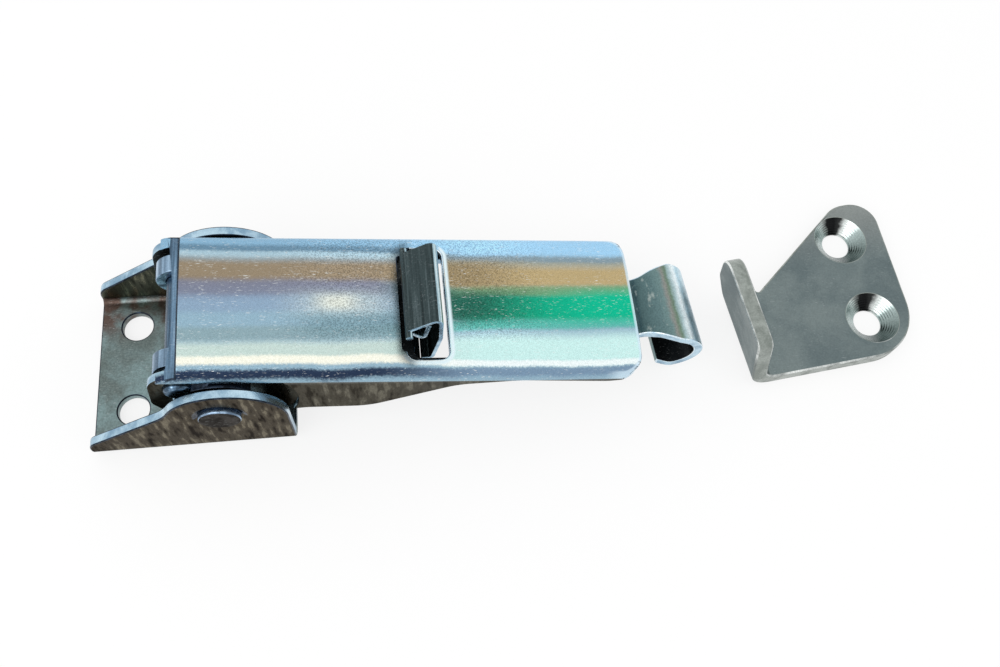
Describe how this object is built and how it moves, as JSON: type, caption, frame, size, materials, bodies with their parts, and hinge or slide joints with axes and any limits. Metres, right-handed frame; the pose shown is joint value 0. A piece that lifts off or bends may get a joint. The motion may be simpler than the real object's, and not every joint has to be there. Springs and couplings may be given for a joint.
{
  "type": "over-centre latch",
  "caption": "Pressed steel over-centre draw latch: channel base with pivot ears, handle lever, draw hook and sprung safety catch, with a separate bent keeper plate.",
  "frame": {"origin": "centre of the base's four screw holes on the mounting face", "axes": "+Z out of the mounting face, +X from the base along the closed lever to the hook"},
  "size_m": [0.1537, 0.0409, 0.0279],
  "materials": {
    "bright_zinc": "bright blue-passivated zinc plating, fine scratches",
    "dull_zinc": "dull grey zinc plating, slightly mottled",
    "pin_steel": "smooth plated steel",
    "rivet_steel": "plated steel, satin head",
    "spring_steel": "plated spring strip, drawn across its width"
  },
  "bodies": {
    "base": {"base_plate": "bright_zinc", "near_pivot_rivet": "rivet_steel", "far_pivot_rivet": "rivet_steel", "keeper_plate": "dull_zinc"},
    "handle": {"lever": "bright_zinc", "draw_pin": "pin_steel"},
    "draw": {"draw_hook": "bright_zinc", "catch_foot": "spring_steel", "catch_rivet": "rivet_steel"},
    "catch": {"safety_catch": "spring_steel"}
  },
  "joints": [
    {"name": "lever_pivot", "type": "hinge", "parent": "base", "child": "handle", "pos_m": [0.0066, 0, 0.0151], "axis": [0, -1, 0], "range_deg": [0, 180]},
    {"name": "draw_pivot", "type": "hinge", "parent": "handle", "child": "draw", "pos_m": [0.0012, 0, 0.0204], "axis": [0, -1, 0], "range_deg": [-160, 0]},
    {"name": "catch_flex", "type": "hinge", "parent": "draw", "child": "catch", "pos_m": [0.0404, 0, 0.0134], "axis": [0, 1, 0], "range_deg": [0, 4], "stiffness_Nm_per_rad": 0.5}
  ],
  "couplings": [
    {"joint": "draw_pivot", "follows": "lever_pivot", "ratio": -0.88}
  ]
}
